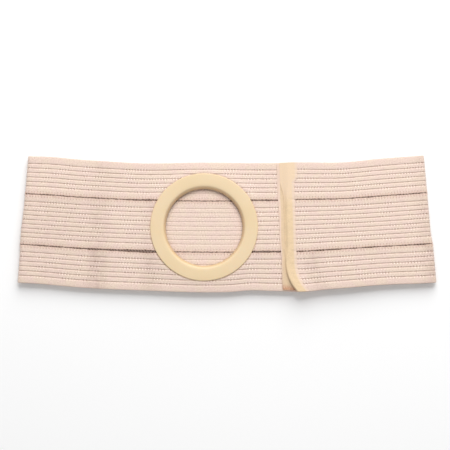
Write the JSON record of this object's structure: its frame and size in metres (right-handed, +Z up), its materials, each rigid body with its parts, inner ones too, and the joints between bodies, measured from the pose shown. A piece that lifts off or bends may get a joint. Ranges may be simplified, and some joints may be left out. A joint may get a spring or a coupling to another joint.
{
  "type": "hernia support belt",
  "caption": "Wide ribbed elastic support belt with a stoma ring and a hook-tape closure, closed into its loop and laid flat.",
  "frame": {"origin": "on the surface that the belt lies on, under the middle of its outline", "axes": "+X along the belt, from its left fold to its right fold; +Y across it, towards its top edge; +Z up, out of the front layer that carries the ring"},
  "size_m": [0.4145, 0.1362, 0.0145],
  "materials": {
    "elastic": "ribbed knitted elastic, matt, light pinkish beige",
    "ring": "satin moulded plastic, pale yellow beige",
    "hook_tape": "dense hook tape, matt, tan",
    "binding": "smooth woven binding tape, tan"
  },
  "bodies": {
    "root": {"top_strip": "elastic", "middle_strip": "elastic", "middle_strip_short": "elastic", "bottom_strip": "elastic", "stoma_ring": "ring", "hook_tape": "hook_tape", "end_binding": "binding"}
  },
  "joints": []
}
